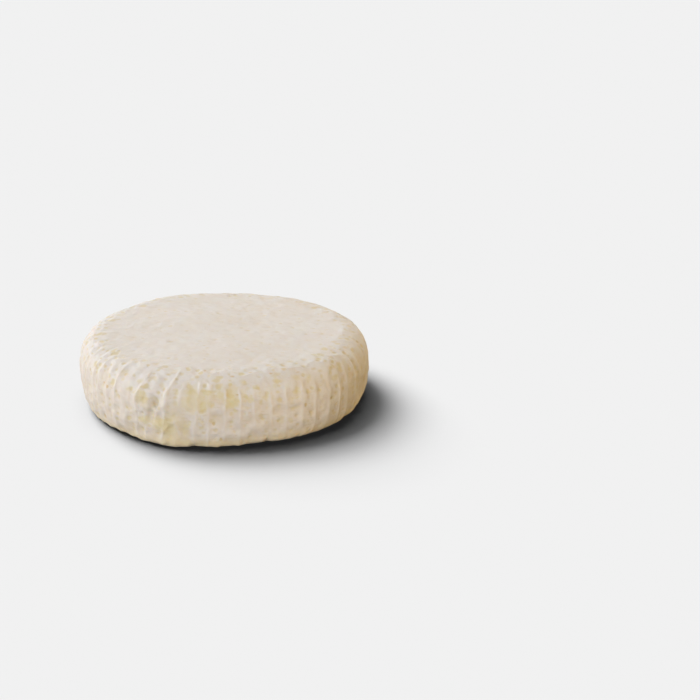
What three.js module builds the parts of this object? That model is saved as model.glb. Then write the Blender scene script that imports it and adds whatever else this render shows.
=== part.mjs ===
// A whole soft-ripened cheese wheel, in millimetres, +Z up.
//
// It is one solid: a flat wheel with a bloomy rind, with a wide soft shoulder and a tighter heel. The basket
// that it drained in left low upright ribs round the wall, with a sunken panel between each two. The front,
// towards -Y, has a creased hollow on its left. The wheel stands on its flat base at Z = 0, and
// the origin is under the middle of its outline. Directions are in degrees from +X, counterclockwise.
import * as THREE from "three";

// Driving dimensions
const GIRTH_DIAMETER = 180; // across the wall at its widest
const HEIGHT = 45; // to the middle of the top face
const GIRTH_HEIGHT = 0.46 * HEIGHT; // where the wall is widest
const RIM_RADIUS = 0.77 * (GIRTH_DIAMETER / 2); // where the top face ends
const FOOT_RADIUS = 0.91 * (GIRTH_DIAMETER / 2); // where the flat base ends
// The wall's section above and below the girth: 2 makes it an ellipse, and more makes it squarer
const SHOULDER_ROUNDNESS = 2.6;
const HEEL_ROUNDNESS = 2.3;
const CROWN = 1.4; // how far the middle of the top face stands above its rim
const SWELLING_FADE = 6; // how fast the rim's swellings die away on the top face

// Ribs and panels. Shares of the wall are levels: -1 is the foot, 0 the girth and 1 the rim.
const RIBS = 60;
const RIB_RISE = 0.4;
const RIB_WIDTH = 0.12; // from a rib's crest to its flank, in spacings
const PANEL_DEPTH = 0.4;
const FIRST_RIB = 274.2; // its direction
const RIB_FOOT = -0.72; // the level where the ribs fade out below
const RIB_TOP = 0.69; // and above
const ARCH = 0.12; // how much lower a panel's arched top is at the ribs

// Slow waves round the wheel: how many times round, how large, and the direction of one crest
const OUTLINE_WAVES = [
  { times: 2, size: 0.7, crest: 15 },
  { times: 3, size: 0.6, crest: 113 },
  { times: 4, size: 0.45, crest: 66 },
  { times: 5, size: 0.65, crest: 30 },
];
const FOOT_WAVES = [
  { times: 1, size: 0.5, crest: 94 },
  { times: 2, size: 0.4, crest: 81 },
  { times: 3, size: 0.8, crest: 109 },
];
const RIM_WAVES = [
  { times: 1, size: 1.5, crest: 150 },
  { times: 2, size: 3, crest: 170 },
];
// The same for the level where the ribs end above
const RIB_TOP_WAVES = [
  { times: 1, size: 0.13, crest: 181 },
  { times: 2, size: 0.07, crest: 48 },
  { times: 3, size: 0.1, crest: 102 },
];
// The same for how strongly the basket marked the wall
const RIB_STRENGTH_WAVES = [
  { times: 0, size: 0.7, crest: 0 },
  { times: 1, size: 0.4, crest: 230 },
];
// The same for the ribs' uneven spacing, with sizes in spacings
const SPACING_WAVES = [
  { times: 3, size: 0.16, crest: 27.7 },
  { times: 7, size: 0.07, crest: 29 },
  { times: 26, size: 0.09, crest: 7.7 },
  { times: 29, size: 0.06, crest: 5.4 },
];
// The same for how far a rib leans counterclockwise over half the wall's height, in spacings
const LEAN_WAVES = [
  { times: 0, size: 0.13, crest: 0 },
  { times: 3, size: 0.21, crest: 32 },
  { times: 5, size: 0.27, crest: 32 },
];
// Soft lumps of the top face: length of a wave, height, the direction it runs in, and its phase in degrees
const TOP_LUMPS = [
  { length: 95, size: 0.35, along: 20, phase: 60 },
  { length: 62, size: 0.25, along: 115, phase: 200 },
  { length: 41, size: 0.16, along: 70, phase: 320 },
];
// Swellings of the wall, or hollows where out is negative: direction, height above the base, reach along the
// wall and up it, and how far the wall moves out
const DENTS = [
  { at: 246, height: 28, along: 3.4, up: 4.2, out: -2.8 },
  { at: 244, height: 20, along: 3.4, up: 2.8, out: -2 },
  { at: 250.5, height: 28, along: 2.2, up: 5.5, out: 0.9 },
  { at: 239.5, height: 31, along: 4.4, up: 4.4, out: 1.3 },
  { at: 247.5, height: 14.5, along: 5.5, up: 4, out: 1.2 },
  { at: 241, height: 16.5, along: 3, up: 3, out: 0.7 },
  { at: 250, height: 4, along: 13, up: 6, out: 2.2 },
  { at: 300, height: 41, along: 13, up: 4.5, out: 1.3 },
  { at: 321, height: 41, along: 10, up: 4.5, out: 1.5 },
  { at: 345, height: 13, along: 16, up: 12, out: -2.1 },
  { at: 205, height: 14, along: 12, up: 8, out: 0.6 },
  { at: 160, height: 33, along: 20, up: 9, out: 0.9 },
  { at: 60, height: 22, along: 7, up: 8, out: -0.8 },
  { at: 128, height: 16, along: 6, up: 7, out: 0.7 },
];

// Notches in the outline of the foot: direction, reach along it, and depth
const FOOT_NOTCHES = [
  { at: 260.5, along: 2.4, depth: 2.2 },
  { at: 285.5, along: 9, depth: 1.5 },
  { at: 291, along: 2.6, depth: 2.2 },
  { at: 304.5, along: 2.2, depth: 1.2 },
  { at: 332, along: 3.5, depth: 1.8 },
];

// How finely the surface is divided
const COLUMNS = [0, 0.15, 0.5, 0.85]; // lines up the wall over one rib and its panel, in spacings
const WALL_ROWS = 16;
// Rings of the two flat faces: share of the face's radius, and how many of the wall's columns each step spans
const TOP_RINGS = [
  { share: 0.93, step: 2 },
  { share: 0.78, step: 2 },
  { share: 0.6, step: 2 },
  { share: 0.42, step: 2 },
  { share: 0.22, step: 4 },
];
const BASE_RINGS = [
  { share: 0.45, step: 4 },
  { share: 0.86, step: 2 },
];

const TURN = 2 * Math.PI;
const SPACING = TURN / RIBS;
const radians = (degrees) => (degrees * Math.PI) / 180;

// From 0 at a to 1 at b, with soft ends.
function ramp(a, b, x) {
  const t = THREE.MathUtils.clamp((x - a) / (b - a), 0, 1);
  return t * t * (3 - 2 * t);
}

// A number from 0 to 1 for each whole n that looks random and never changes.
function scatter(n) {
  const s = Math.sin(n * 12.9898) * 43758.5453;
  return s - Math.floor(s);
}

function waves(list, angle) {
  const wave = ({ times, size, crest }) => size * Math.cos(times * (angle - radians(crest)));
  return list.reduce((sum, entry) => sum + wave(entry), 0);
}

// The angle of a place round the wall that is counted in ribs, so 2.5 is the middle of the third panel.
function angleOf(place, level) {
  const start = radians(FIRST_RIB);
  let angle = start + SPACING * place;
  for (let pass = 0; pass < 8; pass++) {
    const lean = level * waves(LEAN_WAVES, angle);
    angle = start + SPACING * (place - waves(SPACING_WAVES, angle) + lean);
  }
  return angle;
}

// How far the ribs and panels move the wall out.
function ribRelief(place, level) {
  const before = Math.floor(place);
  const across = place - before;
  const strength = (rib) => 0.65 + 0.5 * scatter(rib % RIBS);
  const crest = (distance) => Math.exp(-((distance / RIB_WIDTH) ** 2));
  const rib = strength(before) * crest(across) + strength(before + 1) * crest(1 - across);
  const foot = ramp(RIB_FOOT - 0.2, RIB_FOOT + 0.2, level);
  const angle = angleOf(place, level);
  const top = RIB_TOP + waves(RIB_TOP_WAVES, angle);
  const arch = top - ARCH * (2 * across - 1) ** 2;
  const panel = Math.sin(Math.PI * across) ** 0.7 * (1 - ramp(arch - 0.16, arch + 0.08, level));
  const standing = RIB_RISE * rib * (1 - ramp(top - 0.16, top + 0.16, level)) - PANEL_DEPTH * panel;
  return standing * foot * waves(RIB_STRENGTH_WAVES, angle);
}

// How far it is along the girth from a direction in degrees to an angle.
function arcFrom(at, angle) {
  const turn = THREE.MathUtils.euclideanModulo(angle - radians(at) + Math.PI, TURN) - Math.PI;
  return (turn * GIRTH_DIAMETER) / 2;
}

// How far the swellings and hollows move the wall out.
function dentRelief(angle, height) {
  const dent = ({ at, height: middle, along, up, out }) =>
    out * Math.exp(-((arcFrom(at, angle) / along) ** 2) - ((height - middle) / up) ** 2);
  return DENTS.reduce((sum, entry) => sum + dent(entry), 0);
}

function footRadius(angle) {
  const notch = ({ at, along, depth }) => depth * Math.exp(-((arcFrom(at, angle) / along) ** 2));
  return FOOT_RADIUS + waves(FOOT_WAVES, angle) - FOOT_NOTCHES.reduce((sum, entry) => sum + notch(entry), 0);
}

function topLumps(x, y) {
  const lump = ({ length, size, along, phase }) => {
    const distance = x * Math.cos(radians(along)) + y * Math.sin(radians(along));
    return size * Math.cos((TURN * distance) / length + radians(phase));
  };
  return TOP_LUMPS.reduce((sum, entry) => sum + lump(entry), 0);
}

// A point of the wall, from the foot at level -1 to the rim at level 1. Its section is a rounded quarter below
// the girth and another one above it. The top face's fall towards its rim runs on over the shoulder, and the
// relief stands out along the section's normal.
function wallPoint(place, level) {
  const angle = angleOf(place, level);
  const side = level < 0 ? -1 : 1;
  const roundness = level < 0 ? HEEL_ROUNDNESS : SHOULDER_ROUNDNESS;
  const inner = level < 0 ? footRadius(angle) : RIM_RADIUS + waves(RIM_WAVES, angle);
  const reach = GIRTH_DIAMETER / 2 + waves(OUTLINE_WAVES, angle) - inner;
  const rise = level < 0 ? GIRTH_HEIGHT : HEIGHT - CROWN - GIRTH_HEIGHT;
  const c = Math.max(Math.cos((level * Math.PI) / 2), 0);
  const s = Math.abs(Math.sin((level * Math.PI) / 2));
  const smoothHeight = GIRTH_HEIGHT + side * rise * s ** (2 / roundness);
  const slope = 2 - 2 / roundness;
  const normal = new THREE.Vector2(c ** slope / reach, (side * s ** slope) / rise).normalize();
  const relief = (ribRelief(place, level) + dentRelief(angle, smoothHeight)) * ramp(-1, -0.8, level);
  const radius = inner + reach * c ** (2 / roundness) + relief * normal.x;
  const x = radius * Math.cos(angle);
  const y = radius * Math.sin(angle);
  const crownFall = level > 0 ? ((2 * CROWN * reach) / inner) * c ** (2 / roundness) * s ** 2 : 0;
  const height = smoothHeight - crownFall + relief * normal.y + topLumps(x, y) * ramp(0.1, 1, level);
  return [x, y, Math.max(height, 0)];
}

// A point of the top face, at a share of the way from its middle to the rim. What the shoulder's swellings add
// to the rim's height dies away inwards.
function topPoint(place, share) {
  const [rimX, rimY, rimHeight] = wallPoint(place, 1);
  const x = rimX * share;
  const y = rimY * share;
  const swelling = rimHeight - topLumps(rimX, rimY) - (HEIGHT - CROWN);
  return [x, y, HEIGHT - CROWN * share ** 2 + topLumps(x, y) + swelling * share ** SWELLING_FADE];
}

function basePoint(place, share) {
  const [footX, footY] = wallPoint(place, -1);
  return [footX * share, footY * share, 0];
}

// The surface as rings of points, from the middle of the base up the wall to the middle of the top face.
function wheelRings() {
  const places = [];
  for (let rib = 0; rib < RIBS; rib++) places.push(...COLUMNS.map((across) => rib + across));
  const everyNth = (step) => places.filter((_, k) => k % step === 0);
  const rings = [[[0, 0, 0]]];
  for (const { share, step } of BASE_RINGS) rings.push(everyNth(step).map((n) => basePoint(n, share)));
  for (let row = 0; row < WALL_ROWS; row++) {
    const level = (2 * row) / (WALL_ROWS - 1) - 1;
    rings.push(places.map((n) => wallPoint(n, level)));
  }
  for (const { share, step } of TOP_RINGS) rings.push(everyNth(step).map((n) => topPoint(n, share)));
  rings.push([[0, 0, HEIGHT + topLumps(0, 0)]]);
  return rings;
}

// Fills the band between two rings, where the finer ring has a whole number of points for each of the other's.
function joinRings(lower, upper, triangles) {
  const fine = lower.count >= upper.count ? lower : upper;
  const coarse = fine === lower ? upper : lower;
  const ratio = fine.count / coarse.count;
  const point = (ring, k) => ring.start + (k % ring.count);
  const add = (a, b, c) => triangles.push(...(fine === lower ? [a, b, c] : [a, c, b]));
  const turnOver = coarse.count === 1 ? ratio : Math.floor(ratio / 2);
  for (let k = 0; k < coarse.count; k++) {
    for (let j = 0; j < ratio; j++) {
      const start = k * ratio + j;
      add(point(fine, start), point(fine, start + 1), point(coarse, j < turnOver ? k : k + 1));
    }
    if (coarse.count > 1) add(point(coarse, k), point(fine, k * ratio + turnOver), point(coarse, k + 1));
  }
}

function wheelGeometry() {
  const points = [];
  const triangles = [];
  let lower = null;
  for (const ring of wheelRings()) {
    const upper = { start: points.length / 3, count: ring.length };
    points.push(...ring.flat());
    if (lower) joinRings(lower, upper, triangles);
    lower = upper;
  }
  const geometry = new THREE.BufferGeometry();
  geometry.setAttribute("position", new THREE.Float32BufferAttribute(points, 3));
  geometry.setIndex(triangles);
  geometry.computeBoundingBox();
  const middle = geometry.boundingBox.getCenter(new THREE.Vector3());
  geometry.translate(-middle.x, -middle.y, -geometry.boundingBox.min.z);
  geometry.computeVertexNormals();
  return geometry;
}

function bloomyRind() {
  return new THREE.MeshStandardMaterial({ color: 0xe9e2d4, roughness: 0.85, metalness: 0 });
}

const wheel = new THREE.Mesh(wheelGeometry(), bloomyRind());
wheel.name = "cheese_wheel";

const cheese = new THREE.Group();
cheese.add(wheel);

export default cheese;
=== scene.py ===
"""A whole soft-ripened cheese wheel on a pale studio floor.

The wheel is one piece: the plain solid's form with its ribs, panels and dents, and over it the finer relief
of the rind, which the draining basket, the mats and the creases left. Sizes are in millimetres until the mesh
is made, in metres. Directions round the wheel are in degrees from +X, counterclockwise.
"""

import itertools
import math

import bpy
import numpy as np
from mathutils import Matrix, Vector
from mathutils.kdtree import KDTree


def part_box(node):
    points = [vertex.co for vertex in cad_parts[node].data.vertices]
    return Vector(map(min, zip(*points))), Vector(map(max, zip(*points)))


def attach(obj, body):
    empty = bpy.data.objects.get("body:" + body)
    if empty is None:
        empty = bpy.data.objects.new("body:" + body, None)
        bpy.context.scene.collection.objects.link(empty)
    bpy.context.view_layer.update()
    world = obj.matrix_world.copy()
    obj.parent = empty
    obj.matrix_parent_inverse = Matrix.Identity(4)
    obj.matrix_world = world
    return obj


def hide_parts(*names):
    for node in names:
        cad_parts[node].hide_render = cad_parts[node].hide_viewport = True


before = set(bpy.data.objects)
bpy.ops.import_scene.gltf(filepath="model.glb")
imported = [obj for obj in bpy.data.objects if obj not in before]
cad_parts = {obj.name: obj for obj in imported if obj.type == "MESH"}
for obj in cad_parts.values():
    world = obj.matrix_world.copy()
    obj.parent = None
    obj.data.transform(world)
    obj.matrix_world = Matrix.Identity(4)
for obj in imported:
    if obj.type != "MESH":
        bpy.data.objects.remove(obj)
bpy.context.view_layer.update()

MM = 0.001
TURN = 2 * math.pi
NODE = "cheese_wheel"

# The wheel's form, the same as the solid's. Girth and height are shares of the solid's box, which its waves
# and swellings make a little larger.
solid_low, solid_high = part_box(NODE)
GIRTH_SHARE = 0.99191
HEIGHT_SHARE = 0.9891
GIRTH_RADIUS = GIRTH_SHARE * (solid_high.x - solid_low.x) / 2 / MM
HEIGHT = HEIGHT_SHARE * (solid_high.z - solid_low.z) / MM
GIRTH_HEIGHT = 0.46 * HEIGHT
RIM_RADIUS = 0.77 * GIRTH_RADIUS
FOOT_RADIUS = 0.91 * GIRTH_RADIUS
SHOULDER_ROUNDNESS = 2.6
HEEL_ROUNDNESS = 2.3
CROWN = 1.4
SWELLING_FADE = 6

# Ribs and panels. Levels up the wall are -1 at the foot, 0 at the girth and 1 at the rim.
RIBS = 60
SPACING = TURN / RIBS
RIB_RISE = 0.36
RIB_WIDTH = 0.09
PANEL_DEPTH = 0.3
FIRST_RIB = 274.2
RIB_FOOT = -0.72
RIB_TOP = 0.69
ARCH = 0.12
# Between which levels, told from their ends, the ribs and the panels fade out
RIB_FOOT_FADE = (-0.15, 0.5)
RIB_TOP_FADE = (-0.16, 0.1)
PANEL_FOOT_FADE = (-0.2, 0.2)
PANEL_TOP_FADE = (-0.2, 0.08)
PANEL_SQUARENESS = 0.8
# How strong the weakest rib is, and how far the others may pass it
WEAKEST_RIB = 0.65
RIB_SPREAD = 0.5
# What stands of a rib where it breaks off and where it is whole, and the low hoops that join the ribs' tops
BROKEN_RIB = 0.1
WHOLE_RIB = 1.05
BREAK_EDGE = 0.45
HOOP_SHARE = 0.7
HOOP_WIDTH = 0.035
# Behind, where the basket's mark is faint, the ribs stand out by so much more in the rind
RIB_RISE_BEHIND = 0.35

# Waves round the wheel, as (times round, size, direction of a crest)
OUTLINE_WAVES = [(2, 0.7, 15), (3, 0.6, 113), (4, 0.45, 66), (5, 0.65, 30)]
FOOT_WAVES = [(1, 0.5, 94), (2, 0.4, 81), (3, 0.8, 109)]
# Notches in the foot's outline as (direction, reach along, depth)
FOOT_NOTCHES = [(260.5, 2.4, 2.2), (285.5, 9, 1.5), (291, 2.6, 2.2), (304.5, 2.2, 1.2), (332, 3.5, 1.8)]
RIM_WAVES = [(1, 1.5, 150), (2, 3, 170)]
RIB_TOP_WAVES = [(1, 0.13, 181), (2, 0.07, 48), (3, 0.1, 102)]
RIB_STRENGTH_WAVES = [(0, 0.7, 0), (1, 0.4, 230)]
SPACING_WAVES = [(3, 0.16, 27.7), (7, 0.07, 29), (26, 0.09, 7.7), (29, 0.06, 5.4)]
LEAN_WAVES = [(0, 0.13, 0), (3, 0.21, 32), (5, 0.27, 32)]
# Soft lumps of the top face as (length, height, direction, phase in degrees)
TOP_LUMPS = [(95, 0.35, 20, 60), (62, 0.25, 115, 200), (41, 0.16, 70, 320)]
# Swellings and hollows of the wall as (direction, height, reach along, reach up, outwards)
DENTS = [
    (246, 28, 3.4, 4.2, -2.8),
    (244, 20, 3.4, 2.8, -2),
    (250.5, 28, 2.2, 5.5, 0.9),
    (239.5, 31, 4.4, 4.4, 1.3),
    (247.5, 14.5, 5.5, 4, 1.2),
    (241, 16.5, 3, 3, 0.7),
    (250, 4, 13, 6, 2.2),
    (300, 41, 13, 4.5, 1.3),
    (321, 41, 10, 4.5, 1.5),
    (345, 13, 16, 12, -2.1),
    (205, 14, 12, 8, 0.6),
    (160, 33, 20, 9, 0.9),
    (60, 22, 7, 8, -0.8),
    (128, 16, 6, 7, 0.7),
]

# Fine unevenness, as (size of its lumps, seed, strength)
RIB_WANDER = [(14, 1, 0.2), (4.5, 2, 0.06)]
RIB_BREAKS = [(8, 3, 1)]
PANEL_UNEVENNESS = [(10, 7, 0.5)]
RIND_LUMPS = [(11, 2, 0.35), (4.4, 3, 0.42), (2.1, 4, 0.2)]
UPRIGHT_LUMPS = [(4, 8, 0.3)]
UPRIGHT_SQUEEZE = (1, 1, 0.35)
SPOT_EDGES = [(3.3, 5, 0.45), (1.5, 6, 0.3)]
# How much smoother the rind is round one direction, over a reach, and behind
SMOOTH_SIDE = (325, 32, 0.65)
SMOOTH_BEHIND = 0.5

# Patches where the bloom is thin over the straw-coloured paste, as (direction, height, reach along, reach up,
# strength). The widest lie high in the front panels and on the swellings round the creased hollow.
FRONT_PATCHES = [
    (266, 36, 2.5, 2, 1),
    (265, 28, 2.5, 3.5, 0.9),
    (268, 29, 2, 2.5, 0.6),
    (276, 29.5, 4, 4, 1),
    (260, 36, 2.5, 2, 0.9),
    (259.5, 31, 2, 1.5, 0.7),
    (254.5, 35.5, 2, 2, 0.7),
    (264, 16.5, 3, 4.5, 0.4),
    (258.5, 13.5, 2.5, 4, 0.7),
    (271, 38, 2, 1.5, 0.7),
    (271.5, 35, 2, 2, 0.7),
    (286, 37, 2.5, 2, 0.9),
    (283.5, 31.5, 2.5, 2.5, 0.8),
    (289.5, 31, 2, 3, 0.7),
    (282.5, 26, 2.5, 1, 0.7),
    (283, 22.5, 2, 1, 0.5),
    (281.5, 40, 2.5, 1.5, 0.6),
    (252, 12, 2.5, 5.5, 0.7),
    (298, 41, 4.5, 2, 0.2),
    (294, 36.5, 1.5, 2, 0.5),
    (304.5, 39, 2.5, 2, 0.7),
    (303.5, 32.5, 1.5, 2.5, 0.6),
    (302, 28, 2.5, 1, 0.6),
    (302, 22, 2.5, 1, 0.5),
    (310, 38, 2, 2.5, 0.6),
    (308.5, 29.5, 1, 1.5, 0.4),
    (295.5, 29, 2, 1.5, 0.5),
    (295.5, 14.5, 3, 1.5, 0.5),
    (299.5, 15, 1.5, 1.5, 0.5),
    (300.5, 9, 1.5, 1.5, 0.4),
    (306, 12.5, 2, 1.5, 0.4),
    (240.5, 29.5, 4.5, 4.5, 0.9),
    (245, 31, 2.5, 1, 0.7),
    (249, 16, 6.5, 4.5, 1),
    (241.5, 17, 4.5, 3.5, 0.9),
    (234, 21, 2.5, 1, 0.7),
    (234, 33, 2.5, 1.5, 0.6),
    (238.5, 21, 1.5, 1, 0.5),
    (247.5, 34.5, 1.5, 1, 0.5),
]
# Golden specks of the left shoulder, as (direction, height), and the size and strength of each
SHOULDER_SPECKS = [
    (222.5, 40),
    (233.5, 40),
    (229, 39.5),
    (208.5, 40.5),
    (209.5, 36.5),
    (215.5, 39),
    (223, 42.5),
    (208, 43.5),
    (242, 43),
    (248, 42.5),
    (241.5, 37),
    (247.5, 34.5),
    (235, 33.5),
    (224, 34.5),
    (221, 35.5),
    (224, 19),
    (233.5, 21.5),
    (235.5, 8.5),
    (234, 14.5),
    (256, 43.5),
]
SHOULDER_SPECK_SIZE = (1.5, 1.3, 1.0)
# Small tan pits, as (direction, height, reach along, reach up), and how tan where they are paler
FRONT_PITS = [
    (277, 42.5, 1.5, 0.8, 0.8),
    (285.5, 43, 1.8, 0.8, 0.9),
    (294, 42, 1.5, 0.8, 0.8),
    (306, 41, 1.8, 0.8, 0.7),
    (319, 42.5, 1.8, 1, 0.8),
    (324.5, 42, 1.5, 0.8, 0.7),
    (264, 43.5, 1.5, 0.7, 0.7),
    (246.5, 27, 3.5, 3, 0.45),
    (243, 19.5, 3, 2, 0.35),
    (278.5, 34, 1, 0.5),
    (269, 17, 1, 1),
    (271.5, 6.5, 1, 1.5),
    (306, 22.5, 1, 1),
    (318.5, 22, 1, 1),
    (321, 15, 1, 0.5),
    (205.5, 32.5, 1.5, 1.5),
    (218.5, 30.5, 1.5, 1),
    (221.5, 29.5, 1.5, 1),
    (208, 40.5, 1.5, 1.5),
    (218.5, 8.5, 2, 2),
]

# Wide fields where the bloom is thin between the ribs, in the same terms
THIN_FIELDS = [
    (244.5, 24, 8, 8, 0.6),
    (252.5, 13, 12, 12, 1),
    (240, 12, 7, 8, 0.5),
    (262, 31, 12, 9, 1),
    (276, 33, 11, 8, 0.9),
    (290, 32, 10, 8, 0.5),
    (304, 31, 9, 9, 0.5),
    (262, 3, 24, 4, 0.8),
    (322, 18, 10, 8, 0.4),
    (20, 30, 18, 9, 0.8),
    (52, 12, 16, 8, 0.6),
    (84, 32, 22, 9, 0.8),
    (118, 24, 14, 12, 0.8),
    (150, 10, 20, 7, 0.6),
    (172, 31, 12, 8, 0.6),
    (206, 22, 12, 12, 0.3),
]
# Small folds in and round the creased hollow, as their crests' points in (direction, height)
FOLDS = [
    [(252.5, 41.5), (251, 36.5), (249, 28.5), (247, 22), (246, 14.5)],
    [(241, 38), (238, 32), (237.5, 26), (239, 22), (243.5, 20.5)],
    [(244, 30), (246, 27.5), (248.5, 28.5)],
    [(239.5, 19.5), (239.5, 14), (242.5, 9)],
    [(251, 31.5), (250.5, 28.5), (249.5, 26)],
    [(254, 17.5), (255, 14.5), (256, 10.5)],
    [(263.5, 39), (266, 39.5), (268, 38.5)],
    [(239.5, 34), (242, 34), (244.5, 33)],
    [(247.5, 15), (249.5, 11), (251, 14.5)],
]
FOLD_RISE = 0.5
FOLD_WIDTH = 1.1
FOLD_WHITENESS = 0.5
FOLD_WANDER = [(5, 23, 0.8)]

# The creased hollow's middle as (direction, height), how far its crumpled skin reaches, how high its creases
# stand, how far its deepest places sink, and the creases as (size, seed, strength)
CREASE = (245, 23)
CREASE_REACH = 10
CREASE_RISE = 0.9
CREASE_SINK = 0.7
CREASES = [(5.5, 21, 2), (2.6, 22, 0.6)]
# The welt along the shoulder at the right of the front: from and to these directions, at a level
WELT = (276, 338)
WELT_LEVEL = 0.75
WELT_RISE = 0.65
WELT_WIDTH = 0.05
WELT_WANDER = [(7, 11, 0.08), (2.6, 12, 0.03)]
WELT_BREAKS = [(4, 13, 0.7)]

# Fineness of the rind's mesh: columns of points to a rib, and steps between its rings
COLUMNS_PER_RIB = 14
WALL_STEP = 0.7
TOP_STEP = 0.95
BASE_STEP = 1.7

# Specks where the bloom is thin: in rows up each panel, and on the two faces on the mesh of the mat
PANEL_PITCH = 3.6
MAT_PITCH = 5.2
RUNG_PITCH = 2.3
# The share of the places that hold a speck, the share of the panels' specks that spread to a blotch, and how
# deep specks and patches lie
PANEL_SPECK_SHARE = 0.85
MAT_SPECK_SHARE = 0.45
BLOTCH_SHARE = 0.2
SPECK_DEPTH = 0.22
PATCH_DEPTH = 0.2

# The rind's colours as they look on a screen, from 0 to 255
RIND_COLOURS = {
    "face": (216, 211, 206),
    "face mottle": (214, 207, 201),
    "side": (217, 207, 196),
    "side mottle": (211, 199, 186),
    # painted warm shade for the rind's small hollows and the creased hollow
    "hollow": (209, 192, 168),
    "mat mark": (196, 179, 145),
    "rib": (224, 216, 206),
    "thin field": (212, 197, 161),
    "straw patch": (209, 194, 151),
    "speck": (207, 190, 146),
    "pit": (198, 170, 118),
    # the foot's yellowish edge, painted lighter too as light thrown up from the floor
    "heel": (236, 215, 171),
}

# Soft lights from afar, as (name, azimuth and elevation, strength, spread, tint)
WHITE = (1, 1, 1)
WARM = (1, 0.62, 0.03)
WHEEL_LIGHTS = [
    ("front_left", (240, 15), 2.96, 30, WHITE),
    ("behind_left", (150, 10), 2.85, 60, WHITE),
    ("behind", (90, 30), 1.96, 60, WHITE),
    ("above", (90, 75), 0.25, 60, WHITE),
    ("right", (350, 8), 1.3, 60, WHITE),
    ("warm_side", (0, 5), 1.62, 60, WARM),
]
FLOOR_LIGHTS = [
    ("floor_key", (140, 50), 2.45, 40, WHITE),
    ("floor_low", (130, 35), 1.66, 30, WHITE),
    ("floor_above", (120, 70), 0.6, 50, WHITE),
]
# What the pale room adds to the floor's own light, the floor's half width in metres, and the backdrop
LIT_BY_ROOM = 0.0145
FLOOR_REACH = 15.0
BACKDROP = (0.87, 0.87, 0.87, 1)

# The camera: where it aims, its height over the floor as an angle, its distance in metres, and its lens
CAMERA_AIM = (78.85, 0, 30.38)
CAMERA_ELEVATION = 20.5
CAMERA_DISTANCE = 1.27
CAMERA_LENS = 104
CAMERA_SENSOR = 36


def ramp(a, b, x):
    """From 0 at a to 1 at b, with soft ends."""
    t = np.clip((x - a) / (b - a), 0, 1)
    return t * t * (3 - 2 * t)


def fade_in(x, middle, ends):
    """From 0 to 1 as x passes two ends, which are told from a middle."""
    return ramp(middle + ends[0], middle + ends[1], x)


def scatter(n):
    """A number from 0 to 1 for each whole n that looks random and never changes."""
    s = np.sin(np.asarray(n, float) * 12.9898) * 43758.5453
    return s - np.floor(s)


def noise(points, size, seed):
    """Soft random values from -1 to 1 at points in space, in lumps of about the given size."""
    cell = np.floor(points / size)
    t = ramp(0, 1, points / size - cell)
    total = 0
    for corner in itertools.product((0, 1), repeat=3):
        weight = np.prod(np.where(corner, t, 1 - t), axis=-1)
        total = total + weight * scatter((cell + corner) @ (1.0, 57.0, 113.0) + 17.3 * seed)
    return 2 * total - 1


def uneven(points, rows):
    """Soft random values at points, of several sizes together."""
    return sum(share * noise(points, size, seed) for size, seed, share in rows)


def waves(rows, angle):
    """Waves round the wheel, all together."""
    return sum(size * np.cos(times * (angle - math.radians(crest))) for times, size, crest in rows)


def turn_from(angle, direction):
    """The angle from a direction in degrees, between minus and plus half a turn."""
    return (angle - math.radians(direction) + np.pi) % TURN - np.pi


def angle_of(place, level):
    """The angle of a place round the wall that is counted in ribs."""
    start = math.radians(FIRST_RIB)
    angle = start + SPACING * place
    for _ in range(8):
        angle = start + SPACING * (place - waves(SPACING_WAVES, angle) + level * waves(LEAN_WAVES, angle))
    return angle


def place_of(angle, level):
    """The place, counted in ribs, of an angle."""
    lean = level * waves(LEAN_WAVES, angle)
    return ((angle - math.radians(FIRST_RIB)) / SPACING + waves(SPACING_WAVES, angle) - lean) % RIBS


def rib_crest(place):
    """1 on a rib's crest and 0 on the panels, times the rib's own strength."""
    before = np.floor(place)
    total = 0
    for rib in (before, before + 1):
        own = WEAKEST_RIB + RIB_SPREAD * scatter(rib % RIBS)
        total = total + own * np.exp(-(((place - rib) / RIB_WIDTH) ** 2))
    return total


def basket_mark(angle):
    """How far the basket marked the wall on each side."""
    return waves(RIB_STRENGTH_WAVES, angle)


def rib_lines(place, level, angle, spot):
    """The ribs' crests as they really run: they wander, and break off and return along their length."""
    wander = place + uneven(spot, RIB_WANDER)
    unbroken = BROKEN_RIB + (WHOLE_RIB - BROKEN_RIB) * ramp(-BREAK_EDGE, BREAK_EDGE, uneven(spot, RIB_BREAKS))
    foot = fade_in(level, RIB_FOOT, RIB_FOOT_FADE)
    top = RIB_TOP + waves(RIB_TOP_WAVES, angle)
    uprights = rib_crest(wander) * foot * (1 - fade_in(level, top, RIB_TOP_FADE))
    across = wander - np.floor(wander)
    arch = top - ARCH * (2 * across - 1) ** 2
    hoops = HOOP_SHARE * np.exp(-(((level - arch) / HOOP_WIDTH) ** 2))
    return np.maximum(uprights, hoops) * unbroken * basket_mark(angle)


def panel_hollows(place, level, angle, spot):
    """How deep the panels lie between the ribs, from 0 on a rib."""
    across = place - np.floor(place)
    depth = 1 + uneven(spot, PANEL_UNEVENNESS)
    foot = fade_in(level, RIB_FOOT, PANEL_FOOT_FADE)
    arch = RIB_TOP + waves(RIB_TOP_WAVES, angle) - ARCH * (2 * across - 1) ** 2
    below_arch = 1 - fade_in(level, arch, PANEL_TOP_FADE)
    return depth * basket_mark(angle) * foot * np.sin(np.pi * across) ** PANEL_SQUARENESS * below_arch


def foot_notches(angle):
    """How far the notches set the foot's outline in."""
    total = 0
    for at, along, depth in FOOT_NOTCHES:
        total = total + depth * np.exp(-((turn_from(angle, at) * FOOT_RADIUS / along) ** 2))
    return total


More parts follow.
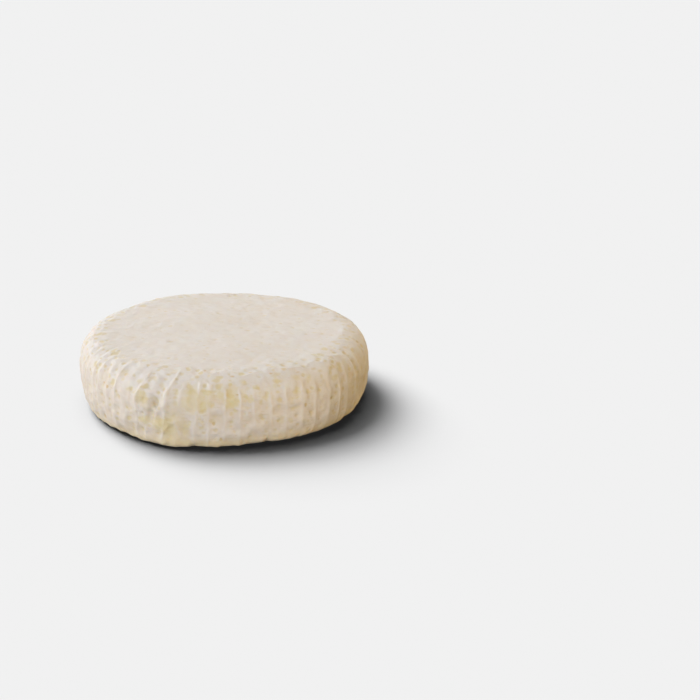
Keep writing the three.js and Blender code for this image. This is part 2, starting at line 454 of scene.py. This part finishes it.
def dent_relief(angle, height):
    """How far the dents and swellings move the wall out."""
    total = 0
    for at, middle, along, up, out in DENTS:
        sideways = turn_from(angle, at) * GIRTH_RADIUS / along
        total = total + out * np.exp(-(sideways**2) - ((height - middle) / up) ** 2)
    return total


def welt_relief(level, angle, spot):
    """A low crooked welt along the shoulder, at the right of the front."""
    first, last = (math.radians(direction) for direction in WELT)
    along = ramp(first, first + 0.08, angle % TURN) * (1 - ramp(last - 0.1, last, angle % TURN))
    crooked = level - WELT_LEVEL - uneven(spot, WELT_WANDER)
    return WELT_RISE * along * np.exp(-((crooked / WELT_WIDTH) ** 2)) * (0.6 + uneven(spot, WELT_BREAKS))


def top_lumps(x, y):
    """The height of the top face's soft lumps."""
    total = 0
    for length, size, along, phase in TOP_LUMPS:
        distance = x * math.cos(math.radians(along)) + y * math.sin(math.radians(along))
        total = total + size * np.cos(TURN * distance / length + math.radians(phase))
    return total


def wall_points(place, level):
    """Points of the wall, from the foot at level -1 to the rim at level 1."""
    place, level = np.broadcast_arrays(np.asarray(place, float), np.asarray(level, float))
    angle = angle_of(place, level)
    low = level < 0
    side = np.where(low, -1, 1)
    roundness = np.where(low, HEEL_ROUNDNESS, SHOULDER_ROUNDNESS)
    foot = FOOT_RADIUS + waves(FOOT_WAVES, angle) - foot_notches(angle)
    inner = np.where(low, foot, RIM_RADIUS + waves(RIM_WAVES, angle))
    reach = GIRTH_RADIUS + waves(OUTLINE_WAVES, angle) - inner
    rise = np.where(low, GIRTH_HEIGHT, HEIGHT - CROWN - GIRTH_HEIGHT)
    # Heel and shoulder are each a quarter of a rounded oblong, squarer than an ellipse
    outwards = np.maximum(np.cos(level * np.pi / 2), 0)
    upwards = np.abs(np.sin(level * np.pi / 2))
    smooth_height = GIRTH_HEIGHT + side * rise * upwards ** (2 / roundness)
    smooth_radius = inner + reach * outwards ** (2 / roundness)
    # The crown goes on falling over the shoulder, with the top face's slope at the rim
    crown_fall = np.where(low, 0, 2 * CROWN * reach / inner * outwards ** (2 / roundness) * upwards**2)
    slope = 2 - 2 / roundness
    out, up = outwards**slope / reach, side * upwards**slope / rise
    size = np.hypot(out, up)
    spot = np.stack([smooth_radius * np.cos(angle), smooth_radius * np.sin(angle), smooth_height], axis=-1)
    relief = RIB_RISE * rib_lines(place, level, angle, spot)
    relief = relief - PANEL_DEPTH * panel_hollows(place, level, angle, spot)
    relief = relief + dent_relief(angle, smooth_height) + welt_relief(level, angle, spot)
    relief = relief * ramp(-1, -0.8, level)
    radius = smooth_radius + relief * out / size
    x, y = radius * np.cos(angle), radius * np.sin(angle)
    height = smooth_height - crown_fall + relief * up / size + top_lumps(x, y) * ramp(0.1, 1, level)
    return np.stack([x, y, np.maximum(height, 0)], axis=-1)


def top_points(place, share):
    """Points of the top face, at a share of the way from its middle to the rim."""
    rim = wall_points(place, np.ones_like(place))
    x, y = rim[..., 0] * share, rim[..., 1] * share
    swelling = rim[..., 2] - top_lumps(rim[..., 0], rim[..., 1]) - (HEIGHT - CROWN)
    height = HEIGHT - CROWN * share**2 + top_lumps(x, y) + swelling * share**SWELLING_FADE
    return np.stack([x, y, height], axis=-1)


def base_points(place, share):
    """Points of the flat base, at a share of the way from its middle to the foot."""
    foot = wall_points(place, -np.ones_like(place))
    return np.stack([foot[..., 0] * share, foot[..., 1] * share, np.zeros_like(share)], axis=-1)


def wall_levels():
    """The levels of the wall's rows, an even step apart along its section."""
    level = np.linspace(-1, 1, 801)
    points = wall_points(np.full_like(level, 0.5), level)
    length = np.concatenate([[0], np.cumsum(np.linalg.norm(np.diff(points, axis=0), axis=1))])
    rows = round(length[-1] / WALL_STEP)
    return np.interp(np.linspace(0, length[-1], rows + 1), length, level)


def level_at(height):
    """The level up the wall of a height above the base."""
    low = height < GIRTH_HEIGHT
    rise = GIRTH_HEIGHT if low else HEIGHT - CROWN - GIRTH_HEIGHT
    roundness = HEEL_ROUNDNESS if low else SHOULDER_ROUNDNESS
    share = min(abs(height - GIRTH_HEIGHT) / rise, 1) ** (roundness / 2)
    return (-1 if low else 1) * math.asin(share) * 2 / math.pi


def face_rings(points_of, radius, step):
    """Rings of a flat face from its rim inwards: (place of each point, points)."""
    rings = []
    for ring in range(1, int(radius / step)):
        share = 1 - ring * step / radius
        count = max(6, round(TURN * radius * share / step))
        place = np.arange(count) * RIBS / count
        rings.append((place, points_of(place, np.full_like(place, share))))
    return rings


def zip_rings(lower, upper):
    """The triangles between two rings of point numbers, which may hold different numbers of points."""
    triangles = []
    i = j = 0
    while i < len(lower) or j < len(upper):
        a, b = lower[i % len(lower)], upper[j % len(upper)]
        if j >= len(upper) or (i < len(lower) and (i + 0.5) / len(lower) <= (j + 0.5) / len(upper)):
            triangles.append((a, lower[(i + 1) % len(lower)], b))
            i += 1
        else:
            triangles.append((a, upper[(j + 1) % len(upper)], b))
            j += 1
    return triangles


class Rind:
    """The rind's mesh as it is worked: points, place and level of each, and masks that its finish reads."""

    def __init__(self):
        levels = wall_levels()
        places = np.arange(RIBS * COLUMNS_PER_RIB) / COLUMNS_PER_RIB
        base = face_rings(base_points, FOOT_RADIUS, BASE_STEP)[::-1]
        wall = [(places, wall_points(places, np.full_like(places, level))) for level in levels]
        top = face_rings(top_points, RIM_RADIUS, TOP_STEP)
        rings = base + wall + top
        ring_levels = [-1.5] * len(base) + list(levels) + [1.5] * len(top)
        middle_low = np.zeros((1, 3))
        middle_top = np.array([[0, 0, HEIGHT + top_lumps(0.0, 0.0)]])
        self.points = np.concatenate([middle_low, *[points for _, points in rings], middle_top])
        self.place = np.concatenate([[0], *[place for place, _ in rings], [0]])
        spread = [np.full(len(place), level) for (place, _), level in zip(rings, ring_levels)]
        self.level = np.concatenate([[-2], *spread, [2]])
        self.angle = np.arctan2(self.points[:, 1], self.points[:, 0])
        self.triangles = self.joined(rings)
        self.masks = {}

    def joined(self, rings):
        """All triangles, from the base's middle over the wall to the top's middle."""
        starts = np.cumsum([1] + [len(place) for place, _ in rings])
        numbers = [list(range(a, b)) for a, b in zip(starts[:-1], starts[1:])]
        last = int(starts[-1])
        first_ring, last_ring = numbers[0], numbers[-1]
        triangles = [(0, b, a) for a, b in zip(first_ring, first_ring[1:] + first_ring[:1])]
        for lower, upper in zip(numbers[:-1], numbers[1:]):
            triangles += zip_rings(lower, upper)
        triangles += [(a, b, last) for a, b in zip(last_ring, last_ring[1:] + last_ring[:1])]
        return np.array(triangles)

    def normals(self):
        """The way out of the skin at each point."""
        corner = self.points[self.triangles]
        face = np.cross(corner[:, 1] - corner[:, 0], corner[:, 2] - corner[:, 0])
        total = np.zeros_like(self.points)
        for k in range(3):
            np.add.at(total, self.triangles[:, k], face)
        return total / np.linalg.norm(total, axis=1, keepdims=True)

    def move_out(self, distance):
        """Moves each point out along the skin, but none below the floor."""
        self.points = self.points + self.normals() * distance[:, None]
        self.points[:, 2] = np.maximum(self.points[:, 2], 0)


def panel_specks():
    """Specks up each panel, as (place, level, reach along, reach up, strength), widest on the shoulder."""
    specks = []
    levels = wall_levels()
    rows = int(len(levels) * WALL_STEP / PANEL_PITCH)
    for panel in range(RIBS):
        for row in range(rows):
            key = 7.0 * (row + rows * panel) + 0.5
            chance, aside, lift, wide, tall, deep, big = scatter(np.arange(7) + key)
            if chance > PANEL_SPECK_SHARE:
                continue
            spot = (row + 0.5 + 0.7 * (lift - 0.5)) / rows
            level = float(np.interp(spot, np.linspace(0, 1, len(levels)), levels))
            upper = float(ramp(-0.3, 0.5, level))
            blotch = 0.8 * upper if big > 1 - BLOTCH_SHARE else 0
            along = 1.1 + (0.4 + 0.5 * upper) * wide + blotch
            up = 0.9 + (0.3 + 0.5 * upper) * tall + blotch
            place = panel + 0.5 + 0.55 * (aside - 0.5)
            specks.append((place, level, along, up, 0.5 + 0.5 * deep))
    return specks


def face_specks(points_of, seed):
    """Faint specks of a flat face, on the mesh of the draining mat."""
    specks = []
    steps = int(RIM_RADIUS / MAT_PITCH)
    for i, j in itertools.product(range(-steps, steps + 1), repeat=2):
        key = 7.0 * (i + 100 * j) + seed
        chance, aside, ahead, wide, long, deep = scatter(np.arange(6) + key)
        x = (i + 0.5 * (j % 2) + 0.8 * (aside - 0.5)) * MAT_PITCH
        y = (j + 0.8 * (ahead - 0.5)) * MAT_PITCH
        if chance > MAT_SPECK_SHARE or math.hypot(x, y) > RIM_RADIUS:
            continue
        place = place_of(math.atan2(y, x), 1)
        share = math.hypot(x, y) / RIM_RADIUS
        centre = points_of(np.array([place]), np.array([share]))[0]
        specks.append((centre, 0.8 + 0.7 * wide, 0.7 + 0.5 * long, 0.2 + 0.6 * deep))
    return specks


def bare_spots(rind, spots, name, depth):
    """Sinks spots a little into the rind, and keeps as a mask how bare each of its points is."""
    tree = KDTree(len(rind.points))
    for number, point in enumerate(rind.points):
        tree.insert(point, number)
    tree.balance()
    normals = rind.normals()
    ragged = uneven(rind.points, SPOT_EDGES)
    bare = np.zeros(len(rind.points))
    for centre, along, up, strength in spots:
        _, nearest, _ = tree.find(centre)
        normal = normals[nearest]
        sideways = np.cross((0, 0, 1), normal)
        if np.linalg.norm(sideways) < 0.2:
            sideways = np.array((1.0, 0, 0))
        sideways = sideways / np.linalg.norm(sideways)
        upwards = np.cross(normal, sideways)
        near = np.array([number for _, number, _ in tree.find_range(centre, 2.3 * max(along, up))])
        if len(near) == 0:
            continue
        offset = rind.points[near] - centre
        distance = np.hypot(offset @ sideways / along, offset @ upwards / up) + ragged[near]
        bare[near] = np.maximum(bare[near], strength * (1 - ramp(0.3, 1.5, distance)))
    rind.move_out(-depth * bare)
    rind.masks[name] = bare


def on_wall(rows):
    """Spots given by direction and height, as (point, reach along, reach up, strength)."""
    spots = []
    for direction, height, along, up, *strength in rows:
        level = level_at(height)
        place = place_of(math.radians(direction), level)
        spots.append((wall_points(place, level), along, up, *(strength or [1.0])))
    return spots


def thin_fields(rind):
    """How thin the bloom is on the wall's wide straw-coloured fields."""
    total = np.zeros(len(rind.points))
    for direction, height, along, up, strength in THIN_FIELDS:
        sideways = turn_from(rind.angle, direction) * GIRTH_RADIUS / along
        field = strength * np.exp(-(sideways**2) - ((rind.points[:, 2] - height) / up) ** 2)
        total = np.maximum(total, field)
    return total * (np.abs(rind.level) <= 1)


def fold_relief(angle, height):
    """Soft ridges along the folds' crests, from 0 to 1."""
    total = np.zeros(len(angle))
    for crest in FOLDS:
        middle = crest[len(crest) // 2][0]
        along = turn_from(angle, middle) * GIRTH_RADIUS
        points = [np.array((math.radians(at - middle) * GIRTH_RADIUS, up)) for at, up in crest]
        spot = np.stack([along, height], axis=-1)
        for start, end in zip(points[:-1], points[1:]):
            run = end - start
            share = np.clip((spot - start) @ run / (run @ run), 0, 1)
            away = np.linalg.norm(spot - start - share[:, None] * run, axis=1)
            total = np.maximum(total, np.exp(-((away / FOLD_WIDTH) ** 2)))
    return total


def crumple(rind):
    """Sharp small folds in and round the creased dent."""
    direction, height = CREASE
    sideways = turn_from(rind.angle, direction) * GIRTH_RADIUS / CREASE_REACH
    upwards = (rind.points[:, 2] - height) / CREASE_REACH
    near = np.exp(-(sideways**2) - upwards**2) * (np.abs(rind.level) <= 1)
    folds = 1 - sum(share * np.abs(noise(rind.points, size, seed)) for size, seed, share in CREASES)
    crests = fold_relief(rind.angle, rind.points[:, 2] + uneven(rind.points, FOLD_WANDER))
    crests = crests * (np.abs(rind.level) <= 1)
    rind.move_out(CREASE_RISE * near * folds + FOLD_RISE * crests)
    rind.masks["rib"] = np.maximum(rind.masks["rib"], FOLD_WHITENESS * crests)


def make_rind():
    """The rind with all its relief, from the widest to the finest, and its masks."""
    rind = Rind()
    wall = np.abs(rind.level) <= 1
    base = rind.level < -0.99
    # The ribs are faint behind, and the fine relief there is lower, so that they still show
    behind = ramp(0, 0.8, np.sin(rind.angle))
    ribs = np.where(wall, rib_lines(rind.place, rind.level, rind.angle, rind.points), 0)
    # Masks: ribs, wall and heel, how near a panel's middle, which rung of the mat, and thin fields
    rind.masks["rib"] = ribs * (1 + behind)
    rind.masks["wall"] = np.where(base, 0, 1 - ramp(-0.1, 0.8, rind.level))
    # The heel mask: the foot's yellowish edge and a painted light from the floor, fading out 10 mm up
    rind.masks["heel"] = 1 - ramp(0.5, 10, rind.points[:, 2])
    rind.masks["across"] = 1 - np.abs(2 * (rind.place - np.floor(rind.place)) - 1)
    rind.masks["rung"] = rind.points[:, 2] / RUNG_PITCH
    rind.masks["thin"] = thin_fields(rind)
    # Soft unevenness, less on the two faces than on the wall
    on_rind = ramp(-0.98, -0.85, rind.level) * (1 - 0.6 * ramp(0.7, 1.2, rind.level))
    lumps = uneven(rind.points, RIND_LUMPS) + uneven(rind.points * UPRIGHT_SQUEEZE, UPRIGHT_LUMPS)
    # The wall is smoother at the right of the front and behind
    direction, reach, smoothness = SMOOTH_SIDE
    smooth = smoothness * np.exp(-((turn_from(rind.angle, direction) / math.radians(reach)) ** 2))
    smooth = (smooth + SMOOTH_BEHIND * behind) * (1 - ramp(0.5, 1, rind.level))
    rind.move_out(lumps * on_rind * (1 - smooth) + RIB_RISE_BEHIND * behind * ribs)
    # The creased hollow sinks further; in it and in the rind's small hollows a warm tan shade is painted into
    # the colour
    dented = ramp(-1, -3, dent_relief(rind.angle, rind.points[:, 2]))
    rind.masks["hollow"] = np.where(base, 0, np.maximum(ramp(0.1, -0.6, lumps), 1.8 * dented))
    rind.move_out(-CREASE_SINK * dented)
    crumple(rind)
    specks = [(wall_points(place, level), *sizes) for place, level, *sizes in panel_specks()]
    specks += on_wall([(*spot, *SHOULDER_SPECK_SIZE) for spot in SHOULDER_SPECKS])
    specks += face_specks(top_points, 0.25) + face_specks(base_points, 0.65)
    bare_spots(rind, specks, "speck", SPECK_DEPTH)
    bare_spots(rind, on_wall(FRONT_PATCHES), "straw", PATCH_DEPTH)
    bare_spots(rind, on_wall(FRONT_PITS), "pit", PATCH_DEPTH)
    return rind


def mesh_object(rind):
    """The rind as a Blender object, in metres and in the solid's place."""
    low, high = rind.points.min(0), rind.points.max(0)
    middle = np.array((solid_low + solid_high) / 2) / MM
    shift = np.array([middle[0] - (low[0] + high[0]) / 2, middle[1] - (low[1] + high[1]) / 2, 0])
    mesh = bpy.data.meshes.new("rind")
    mesh.from_pydata(((rind.points + shift) * MM).tolist(), [], rind.triangles.tolist())
    for name, values in rind.masks.items():
        attribute = mesh.attributes.new(name, "FLOAT", "POINT")
        attribute.data.foreach_set("value", np.ascontiguousarray(values, np.float32))
    mesh.shade_smooth()
    mesh.update()
    piece = bpy.data.objects.new("bloomy_rind_wheel", mesh)
    bpy.context.scene.collection.objects.link(piece)
    return piece


class Wire:
    """One output of a material's node. Sums on wires add Math nodes."""

    def __init__(self, finish, socket):
        self.finish = finish
        self.socket = socket

    def __add__(self, other):
        return self.finish.math("ADD", self, other)

    def __sub__(self, other):
        return self.finish.math("SUBTRACT", self, other)

    def __rsub__(self, other):
        return self.finish.math("SUBTRACT", other, self)

    def __mul__(self, other):
        return self.finish.math("MULTIPLY", self, other)

    __radd__ = __add__
    __rmul__ = __mul__


class Finish:
    """A material as it is put together."""

    def __init__(self, name):
        self.material = bpy.data.materials.new(name)
        self.material.use_nodes = True
        self.tree = self.material.node_tree
        self.tree.nodes.clear()

    def node(self, kind, settings=None, sockets=None, output=0):
        """Adds a node, sets it up, fills or links its sockets, and gives the wire of one output."""
        made = self.tree.nodes.new(kind)
        for name, value in (settings or {}).items():
            setattr(made, name, value)
        for name, value in (sockets or {}).items():
            if isinstance(value, Wire):
                self.tree.links.new(value.socket, made.inputs[name])
            else:
                made.inputs[name].default_value = value
        return Wire(self, made.outputs[output]) if made.outputs else None

    def math(self, operation, a, b):
        return self.node("ShaderNodeMath", {"operation": operation}, {0: a, 1: b})

    def step(self, value, low, high):
        """From 0 where the value is low to 1 where it is high, with soft ends."""
        sockets = {"Value": value, "From Min": low, "From Max": high}
        return self.node("ShaderNodeMapRange", {"interpolation_type": "SMOOTHSTEP"}, sockets)

    def mix(self, factor, a, b):
        """A colour from a at factor 0 to b at factor 1."""
        settings = {"data_type": "RGBA"}
        return self.node("ShaderNodeMix", settings, {0: factor, 6: a, 7: b}, output=2)

    def mask(self, name):
        """One of the masks that the mesh carries."""
        return self.node("ShaderNodeAttribute", {"attribute_name": name}, output=2)

    def clouds(self, size, detail=3.0, roughness=0.55, stretch=(1, 1, 1)):
        """Soft random values round 0.5, in clouds of a size in millimetres, drawn out along some axes."""
        scale = tuple(1 / (size * MM * s) for s in stretch)
        place = self.node("ShaderNodeTexCoord", output=3)
        place = self.node("ShaderNodeMapping", None, {"Vector": place, "Scale": scale})
        sockets = {"Vector": place, "Scale": 1.0, "Detail": detail, "Roughness": roughness}
        return self.node("ShaderNodeTexNoise", None, sockets)


def colour(red, green, blue):
    """A colour given as it looks on a screen, from 0 to 255, as the linear values of a socket."""
    shares = [c / 255 for c in (red, green, blue)]
    return (*[c / 12.92 if c <= 0.04045 else ((c + 0.055) / 1.055) ** 2.4 for c in shares], 1.0)


def bloomy_rind():
    """A velvety cream-white bloom, thin over the straw-coloured paste in the specks and patches."""
    rind = Finish("bloomy_rind")
    tone = {name: colour(*shades) for name, shades in RIND_COLOURS.items()}
    wall, rib = rind.mask("wall"), rind.mask("rib")
    # The bloom is thick and pinkish white on the top face and thinner down the wall
    mottle = rind.step(rind.clouds(7, 4), 0.3, 0.7)
    face = rind.mix(mottle, tone["face"], tone["face mottle"])
    side = rind.mix(mottle, tone["side"], tone["side mottle"])
    skin = rind.mix(wall, face, side)
    # Fine marks of the mat's threads: short dashes on the faces, and rungs up the panels
    fine = rind.clouds(1.6, 2)
    dashes = rind.step(rind.clouds(1.3, 2, stretch=(3.2, 1, 1)), 0.66, 0.74) * (1 - wall)
    rung = rind.node("ShaderNodeMath", {"operation": "SINE"}, {0: rind.mask("rung") * TURN + 5 * fine})
    kept = rind.step(rind.clouds(3, 2, stretch=(1.4, 1.4, 0.5)), 0.5, 0.62)
    rungs = rind.step(rung, 0.45, 0.95) * kept * rind.step(rind.mask("across"), 0.1, 0.7) * wall
    # Painted shade: the rind's hollows and the creased hollow are darkened to a warm tan, more on the wall
    skin = rind.mix((0.15 + 0.4 * wall) * rind.mask("hollow"), skin, tone["hollow"])
    skin = rind.mix(0.35 * dashes + 0.4 * rungs, skin, tone["mat mark"])
    skin = rind.mix(0.45 * rib, skin, tone["rib"])
    # Specks and patches with ragged, mottled outlines
    ragged = 0.7 * rind.clouds(2.2, 3) + 0.5 * fine - 0.6
    specks = rind.step(rind.mask("speck") + 0.7 * ragged, 0.0, 1.2)
    field = rind.mask("thin") * (1 - rib) + 0.7 * rind.clouds(5.5, 3) + 0.6 * ragged
    field = rind.step(field, 0.6, 1.15)
    straw = rind.step(rind.mask("straw") + ragged, 0.0, 1.0)
    pit = rind.step(rind.mask("pit") + 0.5 * ragged, 0.2, 0.9)
    skin = rind.mix(0.6 * field, skin, tone["thin field"])
    skin = rind.mix(straw * (0.3 + 0.8 * fine), skin, tone["straw patch"])
    skin = rind.mix(0.8 * specks, skin, tone["speck"])
    skin = rind.mix(0.7 * pit, skin, tone["pit"])
    # The foot's yellowish edge, painted lighter as well, as a stand-in for light thrown up from the floor
    skin = rind.mix(0.75 * rind.mask("heel"), skin, tone["heel"])
    # The bloom's down, and the curd's small lumps under it
    down = rind.clouds(0.7, 4, 0.65)
    curd = rind.clouds(2.4, 3)
    relief = 0.3 * down + 0.6 * curd - 0.3 * dashes - 0.35 * rungs - 0.3 * specks
    bump = rind.node("ShaderNodeBump", None, {"Strength": 0.5, "Distance": 0.25 * MM, "Height": relief})
    surface = rind.node(
        "ShaderNodeBsdfPrincipled",
        {"subsurface_method": "RANDOM_WALK"},
        {
            "Base Color": skin,
            "Roughness": 0.9 - 0.15 * straw,
            "Normal": bump,
            "Specular IOR Level": 0.2,
            "Subsurface Weight": 0.2,
            "Subsurface Radius": (1.0, 0.62, 0.32),
            "Subsurface Scale": 1.2 * MM,
            "Sheen Weight": 0.08,
            "Sheen Roughness": 0.5,
        },
    )
    rind.node("ShaderNodeOutputMaterial", None, {"Surface": surface})
    return rind.material


def studio_floor():
    """A wide plain pale floor."""
    finish = Finish("studio_floor")
    sockets = {"Base Color": (0.8, 0.8, 0.8, 1), "Roughness": 1.0, "Specular IOR Level": 0.0}
    sockets = {**sockets, "Emission Color": (1, 1, 1, 1), "Emission Strength": LIT_BY_ROOM}
    surface = finish.node("ShaderNodeBsdfPrincipled", None, sockets)
    finish.node("ShaderNodeOutputMaterial", None, {"Surface": surface})
    reach = FLOOR_REACH
    corners = [(-reach, -reach, 0), (reach, -reach, 0), (reach, reach, 0), (-reach, reach, 0)]
    mesh = bpy.data.meshes.new("studio_floor")
    mesh.from_pydata(corners, [], [(0, 1, 2, 3)])
    mesh.materials.append(finish.material)
    floor = bpy.data.objects.new("studio_floor", mesh)
    bpy.context.scene.collection.objects.link(floor)
    return floor


def add_light(name, towards, strength, spread, tint, lit):
    """A soft light from afar, towards an azimuth and elevation, of an angular width, on one object alone."""
    data = bpy.data.lights.new(name, "SUN")
    data.energy = strength
    data.angle = math.radians(spread)
    data.color = tint
    # Rays that leave the floor pass through the wheel, so only shadow rays may find the floor's lights
    data.cycles.use_multiple_importance_sampling = not name.startswith("floor")
    light = bpy.data.objects.new(name, data)
    azimuth, elevation = (math.radians(a) for a in towards)
    level = math.cos(elevation)
    back = Vector((math.cos(azimuth) * level, math.sin(azimuth) * level, math.sin(elevation)))
    light.rotation_euler = back.to_track_quat("Z", "Y").to_euler()
    bpy.context.scene.collection.objects.link(light)
    lit_only = bpy.data.collections.new(name)
    lit_only.objects.link(lit)
    light.light_linking.receiver_collection = lit_only


def studio_light(wheel, floor):
    """Broad soft lights round the wheel, strongest from the left, and others for the floor alone."""
    world = bpy.data.worlds.new("studio")
    world.use_nodes = True
    tree = world.node_tree
    tree.nodes.clear()
    room = tree.nodes.new("ShaderNodeBackground")
    room.inputs["Color"].default_value = (0, 0, 0, 1)
    backdrop = tree.nodes.new("ShaderNodeBackground")
    backdrop.inputs["Color"].default_value = BACKDROP
    seen = tree.nodes.new("ShaderNodeLightPath")
    mixed = tree.nodes.new("ShaderNodeMixShader")
    output = tree.nodes.new("ShaderNodeOutputWorld")
    tree.links.new(seen.outputs["Is Camera Ray"], mixed.inputs[0])
    tree.links.new(room.outputs[0], mixed.inputs[1])
    tree.links.new(backdrop.outputs[0], mixed.inputs[2])
    tree.links.new(mixed.outputs[0], output.inputs[0])
    bpy.context.scene.world = world
    for light in WHEEL_LIGHTS:
        add_light(*light, wheel)
    for light in FLOOR_LIGHTS:
        add_light(*light, floor)
    bpy.context.scene.view_settings.view_transform = "Standard"


def studio_camera():
    """Low over the front, with the wheel at the left of the frame."""
    aim = Vector(CAMERA_AIM) * MM
    elevation = math.radians(CAMERA_ELEVATION)
    data = bpy.data.cameras.new("camera")
    data.sensor_width = CAMERA_SENSOR
    data.lens = CAMERA_LENS
    camera = bpy.data.objects.new("camera", data)
    camera.location = aim + CAMERA_DISTANCE * Vector((0, -math.cos(elevation), math.sin(elevation)))
    camera.rotation_euler = (aim - camera.location).to_track_quat("-Z", "Y").to_euler()
    bpy.context.scene.collection.objects.link(camera)
    bpy.context.scene.camera = camera


wheel = mesh_object(make_rind())
wheel.data.materials.append(bloomy_rind())
floor = studio_floor()
# Neither throws light back on the other, so that the floor's shadow stays deep and the wall's foot in shade
wheel.visible_diffuse = False
floor.visible_diffuse = False
studio_camera()
studio_light(wheel, floor)
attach(wheel, "root")
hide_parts(NODE)
